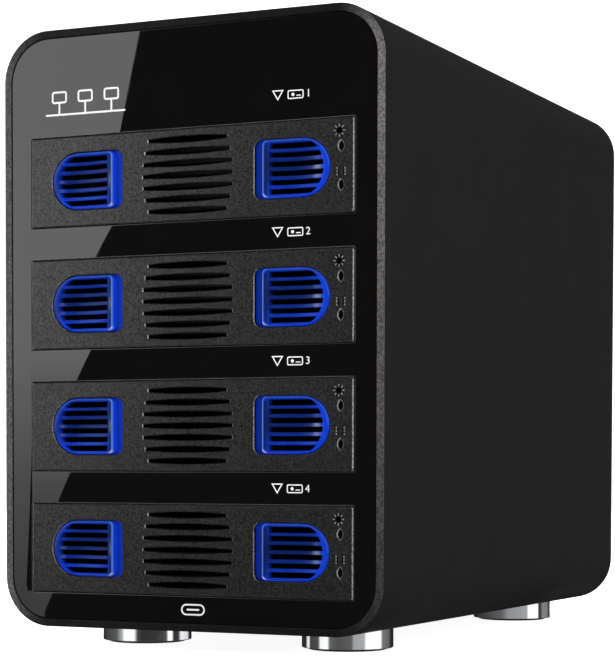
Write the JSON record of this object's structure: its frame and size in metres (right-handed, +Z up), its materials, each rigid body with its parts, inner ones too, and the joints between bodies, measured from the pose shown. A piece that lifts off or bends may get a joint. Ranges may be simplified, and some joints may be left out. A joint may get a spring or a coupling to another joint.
{
  "type": "network attached storage",
  "caption": "Upright desktop enclosure with pull-out drive trays, each with two finger latches, behind a gloss front, in a rounded aluminium sleeve on round feet, with a rear fan and sockets.",
  "frame": {"origin": "middle of the footprint, on the plane the feet stand on", "axes": "+X to the right of someone facing the front, +Y towards the back, +Z up; the trays pull out along -Y"},
  "size_m": [0.134, 0.23, 0.198],
  "materials": {
    "sleeve_black": "black anodised, fine sand-blasted grain",
    "fascia_gloss": "piano-black polished plate",
    "frame_black": "moulded black",
    "tray_black": "dark grey, fine spark texture",
    "latch_blue": "saturated blue, satin",
    "sled_black": "moulded black",
    "spring_steel": "plain spring wire",
    "light_pipe": "clear moulded acrylic",
    "drive_metal": "cast, lightly grained",
    "screw_steel": "zinc plated",
    "screw_black": "black oxide",
    "cage_steel": "galvanised sheet",
    "board_green": "glass-fibre board, solder mask",
    "socket_black": "moulded black",
    "heatsink_black": "black anodised",
    "panel_black": "fine texture powder coat",
    "fan_black": "moulded black",
    "guard_chrome": "bright plated wire",
    "socket_metal": "nickel plated shell",
    "switch_black": "moulded black, satin",
    "foot_chrome": "polished chrome plate",
    "pad_rubber": "soft black rubber"
  },
  "bodies": {
    "chassis": {"outer_sleeve": "sleeve_black", "front_fascia": "fascia_gloss", "front_frame": "frame_black", "rear_panel": "panel_black", "cage_left_wall": "cage_steel", "cage_right_wall": "cage_steel", "backplane_board": "board_green", "backplane_connectors": "socket_black", "main_board": "board_green", "heatsink": "heatsink_black", "fan_frame": "fan_black", "fan_guard": "guard_chrome", "fan_screws": "screw_black", "usb_c_socket": "socket_metal", "lan_socket": "socket_metal", "dc_jack": "socket_black", "power_switch_body": "switch_black", "case_screws": "screw_black", "cage_screws": "screw_steel", "foot_front_left": "foot_chrome", "foot_front_right": "foot_chrome", "foot_rear_left": "foot_chrome", "foot_rear_right": "foot_chrome", "foot_pads": "pad_rubber", "foot_screws": "screw_steel"},
    "tray_1": {"tray_1_face": "tray_black", "tray_1_sled": "sled_black", "tray_1_drive": "drive_metal", "tray_1_light_pipes": "light_pipe", "tray_1_springs": "spring_steel", "tray_1_screws": "screw_steel"},
    "tray_1_left_latch": {"tray_1_latch_left": "latch_blue"},
    "tray_1_right_latch": {"tray_1_latch_right": "latch_blue"},
    "tray_2": {"tray_2_face": "tray_black", "tray_2_sled": "sled_black", "tray_2_drive": "drive_metal", "tray_2_light_pipes": "light_pipe", "tray_2_springs": "spring_steel", "tray_2_screws": "screw_steel"},
    "tray_2_left_latch": {"tray_2_latch_left": "latch_blue"},
    "tray_2_right_latch": {"tray_2_latch_right": "latch_blue"},
    "tray_3": {"tray_3_face": "tray_black", "tray_3_sled": "sled_black", "tray_3_drive": "drive_metal", "tray_3_light_pipes": "light_pipe", "tray_3_springs": "spring_steel", "tray_3_screws": "screw_steel"},
    "tray_3_left_latch": {"tray_3_latch_left": "latch_blue"},
    "tray_3_right_latch": {"tray_3_latch_right": "latch_blue"},
    "tray_4": {"tray_4_face": "tray_black", "tray_4_sled": "sled_black", "tray_4_drive": "drive_metal", "tray_4_light_pipes": "light_pipe", "tray_4_springs": "spring_steel", "tray_4_screws": "screw_steel"},
    "tray_4_left_latch": {"tray_4_latch_left": "latch_blue"},
    "tray_4_right_latch": {"tray_4_latch_right": "latch_blue"},
    "fan": {"fan_rotor": "fan_black"},
    "power_rocker": {"power_switch_rocker": "switch_black"},
    "reset_key": {"reset_button": "switch_black"}
  },
  "joints": [
    {"name": "tray_1_slide", "type": "slide", "parent": "chassis", "child": "tray_1", "axis": [0, -1, 0], "range_m": [0, 0.165]},
    {"name": "tray_1_latch_left_slide", "type": "slide", "parent": "tray_1", "child": "tray_1_left_latch", "axis": [1, 0, 0], "range_m": [0, 0.002], "deforming": ["tray_1_springs"]},
    {"name": "tray_1_latch_right_slide", "type": "slide", "parent": "tray_1", "child": "tray_1_right_latch", "axis": [-1, 0, 0], "range_m": [0, 0.002], "deforming": ["tray_1_springs"]},
    {"name": "tray_2_slide", "type": "slide", "parent": "chassis", "child": "tray_2", "axis": [0, -1, 0], "range_m": [0, 0.165]},
    {"name": "tray_2_latch_left_slide", "type": "slide", "parent": "tray_2", "child": "tray_2_left_latch", "axis": [1, 0, 0], "range_m": [0, 0.002], "deforming": ["tray_2_springs"]},
    {"name": "tray_2_latch_right_slide", "type": "slide", "parent": "tray_2", "child": "tray_2_right_latch", "axis": [-1, 0, 0], "range_m": [0, 0.002], "deforming": ["tray_2_springs"]},
    {"name": "tray_3_slide", "type": "slide", "parent": "chassis", "child": "tray_3", "axis": [0, -1, 0], "range_m": [0, 0.165]},
    {"name": "tray_3_latch_left_slide", "type": "slide", "parent": "tray_3", "child": "tray_3_left_latch", "axis": [1, 0, 0], "range_m": [0, 0.002], "deforming": ["tray_3_springs"]},
    {"name": "tray_3_latch_right_slide", "type": "slide", "parent": "tray_3", "child": "tray_3_right_latch", "axis": [-1, 0, 0], "range_m": [0, 0.002], "deforming": ["tray_3_springs"]},
    {"name": "tray_4_slide", "type": "slide", "parent": "chassis", "child": "tray_4", "axis": [0, -1, 0], "range_m": [0, 0.165]},
    {"name": "tray_4_latch_left_slide", "type": "slide", "parent": "tray_4", "child": "tray_4_left_latch", "axis": [1, 0, 0], "range_m": [0, 0.002], "deforming": ["tray_4_springs"]},
    {"name": "tray_4_latch_right_slide", "type": "slide", "parent": "tray_4", "child": "tray_4_right_latch", "axis": [-1, 0, 0], "range_m": [0, 0.002], "deforming": ["tray_4_springs"]},
    {"name": "fan_spin", "type": "hinge", "parent": "chassis", "child": "fan", "pos_m": [0, 0.0963, 0.118], "axis": [0, 1, 0], "continuous": true},
    {"name": "power_rocker_tilt", "type": "hinge", "parent": "chassis", "child": "power_rocker", "pos_m": [0.044, 0.1075, 0.054], "axis": [1, 0, 0], "range_deg": [0, 16]},
    {"name": "reset_press", "type": "slide", "parent": "chassis", "child": "reset_key", "axis": [0, -1, 0], "range_m": [0, 0.0008]}
  ]
}
